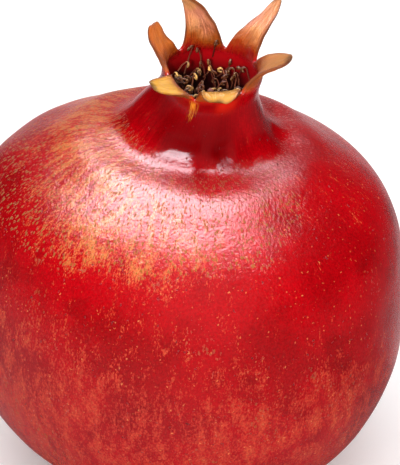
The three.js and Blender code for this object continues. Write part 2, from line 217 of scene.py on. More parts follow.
class Skin:
    """Points, faces and one list per attribute, filled row by row."""

    def __init__(self):
        self.points, self.faces = [], []
        self.paint = {}

    def add(self, points, **paint):
        first = len(self.points)
        points = np.asarray(points, float)
        self.points.extend(points.tolist())
        for key, value in paint.items():
            value = np.asarray(value, float)
            shape = (len(points),) + value.shape[1:] if value.ndim else (len(points),)
            self.paint.setdefault(key, []).extend(np.broadcast_to(value, shape).tolist())
        return list(range(first, first + len(points)))

    def join(self, row, following, closed=True):
        count = len(row) if closed else len(row) - 1
        for i in range(count):
            j = (i + 1) % len(row)
            self.faces.append((row[i], row[j], following[j], following[i]))

    def join_all(self, rows):
        for row, following in zip(rows, rows[1:]):
            self.join(row, following)

    def fan(self, row, apex, at_end):
        for i in range(len(row)):
            j = (i + 1) % len(row)
            self.faces.append((row[i], row[j], apex) if at_end else (row[j], row[i], apex))

    def piece(self, name, material, subdivide=0):
        mesh = bpy.data.meshes.new(name)
        points = np.array(self.points)
        points[:, 0] += FOOTPRINT_SHIFT[0]
        points[:, 1] += FOOTPRINT_SHIFT[1]
        mesh.from_pydata((points * MM).tolist(), [], self.faces)
        mesh.update()
        for key, values in self.paint.items():
            values = np.array(values, np.float32)
            kind = "FLOAT_VECTOR" if values.ndim == 2 else "FLOAT"
            layer = mesh.attributes.new(key, kind, "POINT")
            layer.data.foreach_set("vector" if values.ndim == 2 else "value", values.ravel())
        mesh.polygons.foreach_set("use_smooth", [True] * len(mesh.polygons))
        mesh.materials.append(material)
        piece = add_object(name, mesh)
        if subdivide:
            modifier = piece.modifiers.new("smooth", "SUBSURF")
            modifier.levels = modifier.render_levels = subdivide
        return piece


# ---------- The rind, the calyx tube and the sepals ----------

# What is painted on the skin: rise is the height over the rim in centimetres on the body, and runs
# from -1 at the floor of the tube to 0 at the rim and 1 at a sepal's tip.
RIND_PAINT = dict.fromkeys(("rise", "edge", "lining", "dryness", "gilding", "notch", "bulge"), 0.0)

column_index = np.arange(COLUMNS)
sepal_index = column_index // SEPAL_COLUMNS
column_share = (column_index % SEPAL_COLUMNS) / SEPAL_COLUMNS
starts = np.array([sepal["start"] for sepal in SEPALS], float)
ends = np.array([sepal["end"] for sepal in SEPALS], float)
notches = np.array([sepal["notch"] for sepal in SEPALS], float)
gathered = lerp(starts[sepal_index], ends[sepal_index], column_share)
even = starts[0] + 360 * column_index / COLUMNS
notch_rise = lerp(notches[sepal_index], notches[(sepal_index + 1) % len(SEPALS)], column_share)


def column_azimuths(height):
    return np.radians(lerp(even, gathered, smoothstep(height, GATHER_FROM, GATHER_TO)))


def reach_share(azimuths, height):
    share = 1.0
    for amount, count, azimuth, middle, spread in SWELLINGS:
        strength = math.exp(-(((height - middle) / spread) ** 2))
        share = share + amount * strength * np.cos(count * (azimuths - math.radians(azimuth)))
    rib = 1 - RIB_AMOUNT * smoothstep(height, RIB_FROM, RIB_TO) * np.cos(2 * math.pi * column_share)
    return share * rib


def ring(radius, height):
    azimuths = column_azimuths(height)
    reach = radius * reach_share(azimuths, height)
    rise = notch_rise * smoothstep(height, FLOOR_HEIGHT, RIM_HEIGHT)
    return around(reach, azimuths, height + rise)


def add_rind_row(skin, points, azimuths, along, **paint):
    """Adds points of the skin, with coordinates in which the streaks run from the stalk to the crown.
    Paint that isn't named is 0."""
    rind_lines = around(STREAK_RADIUS, azimuths, along)
    return skin.add(points, rind_lines=rind_lines, **{**RIND_PAINT, **paint})


def add_apex(skin, height, lining):
    """The point on the fruit's axis that closes a row of the skin."""
    return add_rind_row(skin, [(0, 0, height)], np.zeros(1), np.zeros(1), rise=-1.0, lining=lining)[0]


def quadratic(values, t):
    start, middle, end = values
    return lerp(start, end, t) + (middle - (start + end) / 2) * 4 * t * (1 - t)


def spine_of(sepal):
    t = np.linspace(0, 1, SPINE_STEPS + 1)
    lean = np.radians(quadratic(sepal["lean"], t))
    step = sepal["length"] / SPINE_STEPS
    middle = (lean[1:] + lean[:-1]) / 2
    out = np.concatenate([[0], np.cumsum(np.sin(middle) * step)])
    up = np.concatenate([[0], np.cumsum(np.cos(middle) * step)])
    return t, out, up, lean


def sepal_points(index, u, v):
    """Points of a sepal's middle surface: u from -1 to 1 across it, v from 0 to 1 along it."""
    sepal = SEPALS[index]
    following = SEPALS[(index + 1) % len(SEPALS)]
    t, outs, ups, leans = spine_of(sepal)
    out, up, lean = (np.interp(v, t, values) for values in (outs, ups, leans))
    middle = math.radians((sepal["start"] + sepal["end"]) / 2)
    half_span = math.radians((sepal["end"] - sepal["start"]) / 2)
    wall_radius = RIM_RADIUS - RIM_WALL / 2
    base_width = wall_radius * math.sin(half_span)
    past = np.maximum(0, (v - TIP_ROUNDING_FROM) / (1 - TIP_ROUNDING_FROM))
    width = lerp(base_width, sepal["tip"], v ** sepal["taper"]) * np.sqrt(1 - TIP_ROUNDING * past**2)
    across = width * lerp(np.sin(half_span * u) / math.sin(half_span), u, v)
    hollow = width / base_width * wall_radius * (1 - np.cos(half_span * u)) * lerp(1, sepal["cup"], v)
    curl = v * np.where(u < 0, *sepal["curl"]) * width * np.abs(u) ** 3
    turn = math.radians(sepal["twist"]) * v
    proud = curl - hollow
    side = across * np.cos(turn) - proud * np.sin(turn) + sepal["sway"] * v * v
    forward = across * np.sin(turn) + proud * np.cos(turn)
    radial = wall_radius + out + forward * np.cos(lean)
    level = (sepal["notch"] + following["notch"]) / 2
    rise = lerp(lerp(sepal["notch"], following["notch"], (u + 1) / 2), level, v)
    height = RIM_HEIGHT + rise + up - forward * np.sin(lean)
    outward = np.array([math.cos(middle), math.sin(middle), 0])
    sideways = np.array([-math.sin(middle), math.cos(middle), 0])
    points = radial[..., None] * outward + side[..., None] * sideways
    points[..., 2] += height
    return points


def sepal_normals(index, u, v):
    step, most = 0.01, 0.9
    u = np.clip(u, -most, most)
    along_u = sepal_points(index, u + step, v) - sepal_points(index, u - step, v)
    ahead, behind = np.minimum(v + step, 1), np.maximum(v - step, 0)
    along_v = sepal_points(index, u, ahead) - sepal_points(index, u, behind)
    normals = np.cross(along_u, along_v)
    return normals / np.linalg.norm(normals, axis=-1)[..., None]


def sepal_faces(index, u, v):
    """The outer and inner face: a leathery wall, thin and wavy at its edges, with fine ridges."""
    normals = sepal_normals(index, u, v)
    middle = sepal_points(index, u, v)
    wall = lerp(RIM_WALL, TIP_WALL, v) * (1 - EDGE_THINNING * np.abs(u) ** 6 * v**0.3)
    grown = smoothstep(v, 0, 0.25)
    wave = np.array([
        EDGE_WAVE * bumpy((3.0 * a, 5.5 * b, index * 7.1), 1.0, 3) * abs(a) ** 2
        + FACE_WAVE * bumpy((1.2 * a, 3.0 * b, index * 3.7), 0.6, 5)
        for a, b in zip(u, v)
    ]) * grown
    winding = 2.0 * np.sin(3 * v + index)
    ridges = RIDGE_HEIGHT * np.sin(u * RIDGE_FREQUENCY + winding) * grown * (1 - np.abs(u) ** 4)
    outer = middle + normals * (wall / 2 + wave + ridges)[:, None]
    inner = middle - normals * (wall / 2 - wave + 0.6 * ridges)[:, None]
    return outer, inner


def lumpiness(radius, height):
    """How strong the lumps are: none on the flat spot that it rests on, few on the neck."""
    if height < LOW_HEIGHT:
        return float(smoothstep(radius, *RESTING_EDGE))
    return float(1 - NECK_CALM * smoothstep(height, *NECK_FOOT))


def roughened(points, amount):
    """Rind points pushed in and out a little by soft lumps."""
    made = points.copy()
    for i, p in enumerate(points):
        outward = Vector((p[0], p[1], (p[2] - MIDDLE_HEIGHT) * LUMP_FLATTENING)).normalized()
        lump = sum(depth * bumpy(p, size, seed) for depth, size, seed in RIND_LUMPS)
        made[i] += np.array(outward) * lump * amount
    return made


def soft_lobes(azimuths, height):
    """How far the soft lobes push the rind: outward, and up above the middle or down below it."""
    push = np.zeros(len(azimuths))
    for azimuth, width, middle, spread, amount in SOFT_LOBES:
        away = degrees_from(np.degrees(azimuths), azimuth)
        push += amount * np.exp(-((away / width) ** 4)) * math.exp(-(((height - middle) / spread) ** 2))
    upward = (LOBE_UP if height > MIDDLE_HEIGHT else LOBE_DOWN) * push
    return around(LOBE_OUT * push, azimuths, upward)


def add_rind(skin):
    """The outer skin from the stalk's dimple to the rim; gives its last row and its length."""
    outline = np.concatenate([DIMPLE_OUTLINE, eased(spline(BODY_OUTLINE, BODY_ROWS), 4)])
    steps = np.linalg.norm(np.diff(outline, axis=0), axis=1)
    along = np.concatenate([[0], np.cumsum(steps)])
    near_notch = np.exp(-((degrees_from(gathered, GOLDEN_SPLIT) / SPLIT_WIDTH) ** 2))
    near_bulge = np.exp(-((degrees_from(gathered, WARM_BULGE) / BULGE_WIDTH) ** 4))
    folds = PUCKER_HEIGHT * np.cos(column_index * 2 * math.pi / COLUMNS * PUCKER_FOLDS)
    apex = add_apex(skin, DIMPLE_DEPTH, lining=0.0)
    rows = []
    for (radius, height), s in zip(outline, along):
        azimuths = column_azimuths(height)
        points = roughened(ring(radius, height), lumpiness(radius, height))
        points += soft_lobes(azimuths, height)
        if radius < DIMPLE_RADIUS and 0.5 < height < LOW_HEIGHT:
            points[:, 2] += folds * smoothstep(radius, *PUCKER_RADII)
        notch = near_notch * float(smoothstep(height, RIM_HEIGHT - SPLIT_DEPTH, RIM_HEIGHT - 1))
        bulge = near_bulge * float(smoothstep(height, RIM_HEIGHT - BULGE_DEPTH, RIM_HEIGHT - 1))
        rise = (height - RIM_HEIGHT) / 10
        rows.append(add_rind_row(skin, points, azimuths, s, rise=rise, notch=notch, bulge=bulge))
    skin.fan(rows[0], apex, at_end=False)
    skin.join_all(rows)
    return rows[-1], along[-1]


def add_tube(skin, rim, length):
    rows = [rim]
    for depth in np.linspace(0, 1, TUBE_ROWS)[1:]:
        rounding = FLOOR_ROUNDING if depth == 1 else 0
        radius = lerp(RIM_RADIUS - RIM_WALL, FLOOR_RADIUS, depth) - rounding
        height = lerp(RIM_HEIGHT, FLOOR_HEIGHT, depth)
        along = length - TUBE_STREAKS * depth
        points = ring(radius, height)
        rows.append(add_rind_row(skin, points, column_azimuths(height), along, rise=-depth, lining=1.0))
    skin.join_all(rows)
    skin.fan(rows[-1], add_apex(skin, FLOOR_HEIGHT, lining=1.0), at_end=True)


def add_sepal(skin, index, outer_rim, inner_rim, length):
    sepal = SEPALS[index]
    columns = [(index * SEPAL_COLUMNS + j) % COLUMNS for j in range(SEPAL_COLUMNS + 1)]
    outer_rows = [[outer_rim[column] for column in columns]]
    inner_rows = [[inner_rim[column] for column in columns]]
    u = np.linspace(-1, 1, SEPAL_COLUMNS + 1)
    azimuths = np.radians(lerp(sepal["start"], sepal["end"], (u + 1) / 2))
    for i in range(1, SEPAL_ROWS + 1):
        v = np.full_like(u, i / SEPAL_ROWS)
        outer, inner = sepal_faces(index, u, v)
        along = length + v * sepal["length"]
        paint = dict(rise=v, edge=np.abs(u), dryness=sepal["dry"], gilding=sepal["gold"])
        outer_rows.append(add_rind_row(skin, outer, azimuths, along, **paint))
        inner_rows.append(add_rind_row(skin, inner, azimuths, along, lining=1.0, **paint))
    for i in range(SEPAL_ROWS):
        skin.join(outer_rows[i], outer_rows[i + 1], closed=False)
        skin.join(inner_rows[i + 1], inner_rows[i], closed=False)
    skin.join(outer_rows[-1], inner_rows[-1], closed=False)
    skin.join([row[0] for row in outer_rows], [row[0] for row in inner_rows], closed=False)
    skin.join([row[-1] for row in inner_rows], [row[-1] for row in outer_rows], closed=False)


def make_fruit(material):
    skin = Skin()
    outer_rim, length = add_rind(skin)
    inner_ring = ring(RIM_RADIUS - RIM_WALL, RIM_HEIGHT)
    inner_rim = add_rind_row(skin, inner_ring, column_azimuths(RIM_HEIGHT), length, lining=1.0)
    for index in range(len(SEPALS)):
        add_sepal(skin, index, outer_rim, inner_rim, length)
    add_tube(skin, inner_rim, length)
    skin.points = lean_over(skin.points).tolist()
    return skin.piece("pomegranate_skin", material, subdivide=1)


# ---------- The stamens ----------

STAMEN_SEED = 11
ROOT_HEIGHT = FLOOR_HEIGHT + 1.1
# how many, radius of the roots, radius of the tips, lowest and highest tip
FLOOR_WHORLS = [(20, 5.4, 6.4, 87, 91), (15, 3.6, 4.2, 86, 90), (10, 1.9, 2.2, 85.5, 88.5)]
WALL_WHORL = dict(count=34, root=(7.9, 83.5), tips=(88.5, 95.5), inset=(0.7, 2.4))
WALL_GAP = 0.5
FILAMENT_RADIUS = 0.13
FILAMENT_STEPS = 8
FILAMENT_BOW = 0.16
ANTHER_RADIUS = 0.25
ANTHER_STEPS = 13
CURL_RADII, CURL_SWEEP = (0.38, 0.72), (200, 320)
THINNEST = 0.10
TUBE_SIDES = 7

# radius and height over the calyx floor
PAD_OUTLINE = [(5.7, 0.35), (5.8, 0.9), (5.4, 1.4), (4.2, 1.8), (2.4, 2.0)]
PAD_PEAK = 2.05
PAD_SIDES = 48
PAD_RIPPLE = 0.12

STYLE_FOOT, STYLE_LENGTH, STYLE_POINTS, STYLE_SIDES = FLOOR_HEIGHT + 1.4, 7.0, 14, 12
STYLE_RADII = (0.8, 0.42)
STIGMA_POINT, STIGMA_SWELL = 12, 0.3


def polar(radius, azimuth, height):
    return np.array([radius * math.cos(azimuth), radius * math.sin(azimuth), height])


def unit(vector):
    return vector / np.linalg.norm(vector)


def add_strand(skin, path, radii, sides, anther, tone):
    """A thin tube along the path, closed at both ends."""
    path = np.asarray(path, float)
    last = len(path) - 1
    angles = even_angles(sides)
    normal = np.array([1.0, 0.2, 0.1])
    rows = []
    for i, point in enumerate(path):
        along = unit(path[min(i + 1, last)] - path[max(i - 1, 0)])
        normal = unit(normal - along * (normal @ along))
        across = np.cross(along, normal)
        row = point + radii[i] * (np.cos(angles)[:, None] * normal + np.sin(angles)[:, None] * across)
        rows.append(skin.add(row, anther=anther[i], tone=tone, along=i / last))
    skin.join_all(rows)
    for end, at_end in ((0, False), (-1, True)):
        apex = skin.add([path[end]], anther=anther[end], tone=tone, along=float(at_end))[0]
        skin.fan(rows[end], apex, at_end)


def add_stamen(skin, root, tip, chance):
    """A wiry filament that ends in a curled anther."""
    height = tip[2] - root[2]
    azimuth = math.atan2(tip[1], tip[0])
    sway = polar(1, azimuth + chance.uniform(-2.2, 2.2), 0)
    path = []
    for share in np.linspace(0, 1, FILAMENT_STEPS + 1):
        bow = 4 * share * (1 - share)
        path.append(lerp(root, tip, share) + sway * bow * FILAMENT_BOW * height * chance.uniform(0.6, 1.0))
    radii = [FILAMENT_RADIUS * lerp(1.3, 0.9, i / FILAMENT_STEPS) for i in range(FILAMENT_STEPS + 1)]
    ahead = unit(path[-1] - path[-2])
    inward = -polar(1, azimuth + chance.uniform(-1.3, 1.3), chance.uniform(-0.3, 0.5))
    inward = unit(inward - ahead * (inward @ ahead))
    curl = chance.uniform(*CURL_RADII)
    sweep = chance.uniform(*CURL_SWEEP)
    twist = np.cross(ahead, inward) * chance.uniform(-0.5, 0.5)
    centre = path[-1] + inward * curl
    for k in range(1, ANTHER_STEPS + 1):
        turn = math.radians(sweep * k / ANTHER_STEPS)
        bent = ahead * curl * math.sin(turn) + twist * k / ANTHER_STEPS
        path.append(centre - inward * curl * math.cos(turn) + bent)
        swell = math.sin(math.pi * min(1, (k - 0.4) / (ANTHER_STEPS + 0.3))) ** 0.45
        radii.append(max(ANTHER_RADIUS * swell * (1 + 0.12 * math.cos(k * 2.1)), THINNEST))
    anther = [0.0] * (FILAMENT_STEPS + 1) + [1.0] * ANTHER_STEPS
    add_strand(skin, path, radii, TUBE_SIDES, anther, chance.random())


def add_floor_whorls(skin, chance):
    for count, root_radius, tip_radius, low, high in FLOOR_WHORLS:
        for i in range(count):
            azimuth = 2 * math.pi * (i + chance.uniform(-0.3, 0.3)) / count + root_radius
            root = polar(root_radius * chance.uniform(0.85, 1.05), azimuth, ROOT_HEIGHT)
            reach = tip_radius * chance.uniform(0.75, 1.1)
            tip = polar(reach, azimuth + chance.uniform(-0.4, 0.4), chance.uniform(low, high))
            add_stamen(skin, root, tip, chance)


def add_wall_whorl(skin, chance):
    radius, height = WALL_WHORL["root"]
    low, high = WALL_WHORL["tips"]
    for i in range(WALL_WHORL["count"]):
        azimuth = 2 * math.pi * (i + chance.uniform(-0.35, 0.35)) / WALL_WHORL["count"]
        facing = 0.5 + 0.5 * math.sin(azimuth)
        root = polar(radius, azimuth, height + chance.uniform(-1.0, 3.0))
        tip_height = lerp(low, lerp(low + 1.0, high, facing), chance.random())
        wall = lerp(FLOOR_RADIUS, RIM_RADIUS - RIM_WALL, min(1, (tip_height - FLOOR_HEIGHT) / TUBE_DEPTH))
        reach = wall - chance.uniform(*WALL_WHORL["inset"]) - WALL_GAP
        tip = polar(reach, azimuth + chance.uniform(-0.5, 0.5), tip_height)
        add_stamen(skin, root, tip, chance)


def add_pad(skin):
    dry = dict(anther=0.0, tone=0.2, along=0.0)
    angles = even_angles(PAD_SIDES)
    wobble = 1 + 0.03 * np.sin(angles * 11) + 0.02 * np.cos(angles * 17)
    ripple = PAD_RIPPLE * np.sin(angles * 13)
    rows = []
    for radius, rise in PAD_OUTLINE:
        height = FLOOR_HEIGHT + rise + ripple * (rise > 1)
        rows.append(skin.add(around(radius * wobble, angles, height), **dry))
    skin.join_all(rows)
    for row, rise, at_end in ((rows[0], PAD_OUTLINE[0][1], False), (rows[-1], PAD_PEAK, True)):
        skin.fan(row, skin.add([(0, 0, FLOOR_HEIGHT + rise)], **dry)[0], at_end)


def add_style(skin):
    heights = np.linspace(STYLE_FOOT, STYLE_FOOT + STYLE_LENGTH, STYLE_POINTS)
    path = [(0.5 * (h - STYLE_FOOT) / STYLE_LENGTH, 0.3 * math.sin(h), h) for h in heights]
    radii = []
    for i in range(STYLE_POINTS):
        stigma = STIGMA_SWELL * math.exp(-(((i - STIGMA_POINT) / 1.1) ** 2))
        radii.append(lerp(*STYLE_RADII, smoothstep(i, 0, 5)) + stigma)
    radii[-1] = 0.4
    add_strand(skin, path, radii, STYLE_SIDES, [0.35] * STYLE_POINTS, 0.5)


def make_stamens(material):
    chance = random.Random(STAMEN_SEED)
    skin = Skin()
    add_floor_whorls(skin, chance)
    add_wall_whorl(skin, chance)
    add_pad(skin)
    add_style(skin)
    skin.points = lean_over(skin.points).tolist()
    return skin.piece("stamen_tuft", material)


# ---------- The cut stalk ----------

STUB_RADIUS = 2.9
STUB_FOOT = 0.7
# radius and height over the foot; the first rings are the cut face
STUB_OUTLINE = [
    (0.5, 0.25), (1.4, 0.16), (2.1, 0.04), (2.5, 0), (2.78, 0.12), (2.88, 0.4),
    (2.86, 0.9), (2.78, 1.4), (2.72, 1.9), (2.5, 2.17), (1.4, 2.2),
]
CUT_RINGS = 4
CUT_MIDDLE, STUB_LENGTH = 0.27, 2.2
CUT_ROUGHNESS = 0.10
STUB_SIDES = 56


def make_stub(material):
    skin = Skin()
    angles = even_angles(STUB_SIDES)
    ridge = 1 + 0.04 * (np.cos(3 * (angles - math.radians(13))) - 1) + 0.012 * np.cos(angles * 14 + 1)
    rows = []
    for k, (radius, rise) in enumerate(STUB_OUTLINE):
        on_cut = float(k < CUT_RINGS)
        row = around(radius * ridge, angles, STUB_FOOT + rise)
        row[:, 2] += [CUT_ROUGHNESS * on_cut * bumpy((x, y, 0), 0.7, 6) for x, y, _ in row]
        rows.append(skin.add(row, cut=on_cut, across=radius / STUB_RADIUS))
    skin.join_all(rows)
    for row, rise, cut in ((rows[0], CUT_MIDDLE, 1.0), (rows[-1], STUB_LENGTH, 0.0)):
        skin.fan(row, skin.add([(0, 0, STUB_FOOT + rise)], cut=cut, across=0.0)[0], at_end=not cut)
    return skin.piece("stalk_stub", material, subdivide=1)


# ---------- Shader helpers ----------


def srgb(red, green, blue):
    """A linear colour from 0 to 255 screen values."""
    def linear(c):
        c = c / 255
        return c / 12.92 if c <= 0.04045 else ((c + 0.055) / 1.055) ** 2.4
    return (linear(red), linear(green), linear(blue), 1.0)


class Sheet:
    """Adds nodes to a material or a node group, and wires each input as it is named."""

    def __init__(self, tree):
        self.tree = tree

    def node(self, kind, inputs=None, **settings):
        node = self.tree.nodes.new(kind if kind.startswith("NodeGroup") else "ShaderNode" + kind)
        for key, value in settings.items():
            setattr(node, key, value)
        for key, value in (inputs or {}).items():
            if isinstance(value, bpy.types.NodeSocket):
                self.tree.links.new(value, node.inputs[key])
            else:
                node.inputs[key].default_value = value
        return node

    def group(self, tree, **inputs):
        return self.node("Group", inputs, node_tree=tree).outputs

    def painted(self, name, vector=False):
        node = self.node("Attribute", attribute_name=name)
        return node.outputs["Vector" if vector else "Fac"]

    def math(self, operation, a, b=0.0, c=0.0, clamp=False):
        return self.node("Math", {0: a, 1: b, 2: c}, operation=operation, use_clamp=clamp).outputs[0]

    def times(self, a, b, clamp=False):
        return self.math("MULTIPLY", a, b, clamp=clamp)

    def plus(self, a, b, clamp=False):
        return self.math("ADD", a, b, clamp=clamp)

    def minus(self, a, b):
        return self.math("SUBTRACT", a, b)

    def scaled(self, value, factor, base):
        """The value times the factor, plus the base."""
        return self.math("MULTIPLY_ADD", value, factor, base)

    def larger(self, a, b):
        return self.math("MAXIMUM", a, b)

    def vector_math(self, operation, inputs, output="Vector"):
        return self.node("VectorMath", inputs, operation=operation).outputs[output]

    def mix(self, amount, a, b, blend="MIX"):
        node = self.node("Mix", {0: amount, 6: a, 7: b}, data_type="RGBA", blend_type=blend)
        return node.outputs[2]

    def mask(self, value, low, high, start=0.0, end=1.0):
        """Smoothly from start at the low value to end at the high one."""
        inputs = {"Value": value, "From Min": low, "From Max": high, "To Min": start, "To Max": end}
        return self.node("MapRange", inputs, interpolation_type="SMOOTHSTEP").outputs["Result"]

    def noise(self, vector, scale, detail, roughness):
        inputs = {"Vector": vector, "Scale": scale, "Detail": detail, "Roughness": roughness}
        return self.node("TexNoise", inputs).outputs["Fac"]

    def stretched(self, vector, x, y, z):
        return self.node("Mapping", {"Vector": vector, "Scale": (x, y, z)}).outputs["Vector"]

    def object_place(self):
        return self.node("TexCoord").outputs["Object"]

    def parts(self, vector):
        """The vector's X, Y and Z, each by its name."""
        return self.node("SeparateXYZ", {"Vector": vector}).outputs


def new_group(name, inputs, outputs):
    """A shader node group with float inputs given as name: default, and one vector named Vector."""
    tree = bpy.data.node_groups.new(name, "ShaderNodeTree")
    tree.interface.new_socket(name="Vector", in_out="INPUT", socket_type="NodeSocketVector")
    for key, default in inputs.items():
        socket = tree.interface.new_socket(name=key, in_out="INPUT", socket_type="NodeSocketFloat")
        socket.default_value = default
    for key in outputs:
        tree.interface.new_socket(name=key, in_out="OUTPUT", socket_type="NodeSocketFloat")
    sheet = Sheet(tree)
    return tree, sheet, sheet.node("NodeGroupInput").outputs, sheet.node("NodeGroupOutput").inputs


def make_flecks():
    """Small irregular spots: Spacing is their distance apart and Size their share of it."""
    inputs = {"Spacing": 0.002, "Size": 0.2, "Softness": 0.1, "Raggedness": 0.3, "Sparseness": 0.0}
    tree, sheet, given, out = new_group("flecks", inputs, ["Mask"])
    scale = sheet.math("DIVIDE", 1.0, given["Spacing"])
    warp_inputs = {"Vector": given["Vector"], "Scale": sheet.times(scale, 2.5), "Detail": 2.0}
    warp = sheet.node("TexNoise", warp_inputs).outputs["Color"]
    centred = sheet.vector_math("SUBTRACT", {0: warp, 1: (0.5, 0.5, 0.5)})
    amount = sheet.times(given["Raggedness"], given["Spacing"])
    shift = sheet.vector_math("SCALE", {0: centred, "Scale": amount})
    moved = sheet.vector_math("ADD", {0: given["Vector"], 1: shift})
    cells = sheet.node("TexVoronoi", {"Vector": moved, "Scale": scale, "Randomness": 1.0})
    chance = sheet.node("SeparateColor", {"Color": cells.outputs["Color"]}).outputs["Red"]
    size = sheet.times(given["Size"], sheet.mask(chance, 0.0, 1.0, 0.45, 1.3))
    spot = sheet.mask(cells.outputs["Distance"], sheet.minus(size, given["Softness"]), size, 1.0, 0.0)
    kept = sheet.math("GREATER_THAN", chance, given["Sparseness"])
    tree.links.new(sheet.times(spot, kept), out["Mask"])
    return tree


def make_streaks():
    """Fibrous streaks along the third axis of Vector: Width and Length are a streak's own."""
    inputs = {"Width": 1.0, "Length": 6.0, "Detail": 4.0, "Contrast": 0.2, "Level": 0.5}
    tree, sheet, given, out = new_group("streaks", inputs, ["Mask", "Grain"])
    across = sheet.math("DIVIDE", 1.0, given["Width"])
    along = sheet.math("DIVIDE", 1.0, given["Length"])
    scales = sheet.node("CombineXYZ", {"X": across, "Y": across, "Z": along}).outputs["Vector"]
    spaced = sheet.vector_math("MULTIPLY", {0: given["Vector"], 1: scales})
    grain_inputs = {"Vector": spaced, "Scale": 1.0, "Detail": given["Detail"], "Roughness": 0.62,
                    "Distortion": 0.3}
    grain = sheet.node("TexNoise", grain_inputs).outputs["Fac"]
    low, high = sheet.minus(given["Level"], given["Contrast"]), sheet.plus(given["Level"], given["Contrast"])
    tree.links.new(sheet.mask(grain, low, high), out["Mask"])
    tree.links.new(grain, out["Grain"])
    return tree


def make_backdrop():
    """White card right behind the fruit and on its left, for a Vector that is a direction."""
    tree, sheet, given, out = new_group("backdrop", {}, ["Mask"])
    parts = sheet.parts(given["Vector"])
    behind = sheet.mask(parts["Y"], 0.86, 0.97)
    left = sheet.mask(parts["X"], -0.97, -0.88, 0.12, 0.0)
    tree.links.new(sheet.larger(behind, left), out["Mask"])
    return tree


def new_material(name):
    material = bpy.data.materials.new(name)
    material.use_nodes = True
    return material, Sheet(material.node_tree), material.node_tree.nodes["Principled BSDF"]


def finish_surface(sheet, surface, colour, roughness, height, bump_distance):
    bump = sheet.node("Bump", {"Strength": 1.0, "Distance": bump_distance, "Height": height})
    sheet.tree.links.new(colour, surface.inputs["Base Color"])
    sheet.tree.links.new(roughness, surface.inputs["Roughness"])
    sheet.tree.links.new(bump.outputs["Normal"], surface.inputs["Normal"])


# ---------- The rind's finish ----------

DEEP_RED = srgb(162, 0, 8)
RIPE_RED = srgb(186, 0, 12)
DUSKY_RED = srgb(122, 0, 3)
ORANGE_BLUSH = srgb(202, 48, 32)
TAN_BLUSH = srgb(212, 84, 48)
STRAW_BLUSH = srgb(214, 130, 66)
OLIVE_FLECK = srgb(150, 88, 0)
PALE_FLECK = srgb(232, 134, 78)
DARK_FLECK = srgb(58, 16, 6)
# painted shade on the neck, also the colour of its darker streaks
NECK_STREAK_AND_SHADE_RED = srgb(88, 0, 2)
BULGE_RED = srgb(176, 26, 12)
LINING_RED = srgb(134, 2, 8)
# painted shade deep in the calyx tube
LINING_SHADE = srgb(30, 4, 4)
SEPAL_TAN = srgb(238, 168, 106)
SEPAL_PINK = srgb(238, 152, 122)
SEPAL_ORANGE = srgb(212, 104, 18)
SEPAL_BASE = srgb(160, 74, 18)
SEPAL_GOLD = srgb(230, 166, 54)
SEPAL_RED = srgb(172, 12, 14)
SEPAL_BROWN = srgb(146, 62, 10)
SEPAL_TIP = srgb(84, 38, 12)

# Where the blush, its sunny part, its corky dots and the plain red lie, along X or up Z in metres.
LEFT_SIDE_X, LEFT_SIDE_Z = (-0.036, -0.006), (0.046, 0.056)
SHOULDER_Z, SHOULDER_RIGHT_X, SHOULDER_LEFT_X = (0.058, 0.070), (-0.006, 0.014), (-0.034, -0.018)
LOWER_Z = (0.036, 0.058)
NECK_EDGE_Z = (0.0710, 0.0790)
SUNNY_RIGHT_X, SUNNY_LEFT_X, SUNNY_Z = (-0.012, 0.012), (-0.040, -0.030), (0.055, 0.070)
DOTTED_X, DOTTED_Z = (0.014, 0.030), (0.061, 0.071)
PLAIN_X, PLAIN_Z = (0.006, 0.026), (0.030, 0.046)
# where the neck's painted shade lies, darkest down its middle, and how it fades to the sides
SHADED_NECK_X, SHADED_NECK_FADES = 0.003, (0.005, 0.012)

# Where the finish changes along the painted rise.
NET_FADES = (-5.4, -3.6)
PALE_DOTS_END = (-2.0, -1.6)
NECK_BEGINS = (-1.8, -1.1)
CREASE = (-1.60, -1.42)
# the neck's painted shade eases off toward the neck's top
NECK_TOP = (-0.75, -0.15)
SEPAL_BEGINS = (-0.12, 0.04)
RIM_CROSSED = (-0.06, 0.02)
# the lining's painted shade deepens down the tube
LINING_SHADE_FADES = (-0.52, -0.08)

RIND_BUMP = 0.00016


def blush_regions(sheet, spot):
    """How thick the blush is, most on the shoulder and the left, and where it is sunny, dotted or bare."""
    parts = sheet.parts(spot)
    x, z = parts["X"], parts["Z"]
    cloud = sheet.minus(sheet.noise(spot, 55.0, 4.0, 0.6), 0.5)
    left = sheet.times(sheet.mask(x, *LEFT_SIDE_X, 0.58, 0.0), sheet.mask(z, *LEFT_SIDE_Z, 1.0, 0.14))
    shoulder = sheet.times(sheet.mask(z, *SHOULDER_Z, 0.0, 0.95), sheet.mask(x, *SHOULDER_RIGHT_X, 1.0, 0.40))
    shoulder = sheet.times(shoulder, sheet.mask(x, *SHOULDER_LEFT_X, 0.12, 1.0))
    lower = sheet.mask(z, *LOWER_Z, 0.62, 0.06)
    blush = sheet.larger(sheet.larger(left, shoulder), lower)
    blush = sheet.times(blush, sheet.scaled(cloud, 1.2, 1.0))
    blush = sheet.scaled(cloud, 0.3, blush)
    leftward = sheet.math("MINIMUM", x, 0.0)
    below_neck = sheet.mask(sheet.scaled(leftward, 0.4, z), *NECK_EDGE_Z, 1.0, 0.0)
    blush = sheet.times(blush, below_neck, clamp=True)
    sunny = sheet.times(sheet.mask(x, *SUNNY_RIGHT_X, 1.0, 0.2), sheet.mask(z, *SUNNY_Z))
    sunny = sheet.times(sheet.times(sunny, sheet.mask(x, *SUNNY_LEFT_X)), below_neck)
    dotted = sheet.times(sheet.mask(z, *DOTTED_Z), sheet.mask(x, *DOTTED_X, 1.0, 0.0))
    dotted = sheet.times(sheet.scaled(cloud, 1.6, dotted), below_neck, clamp=True)
    plain = sheet.times(sheet.mask(x, *PLAIN_X), sheet.mask(z, *PLAIN_Z))
    return blush, sunny, dotted, plain


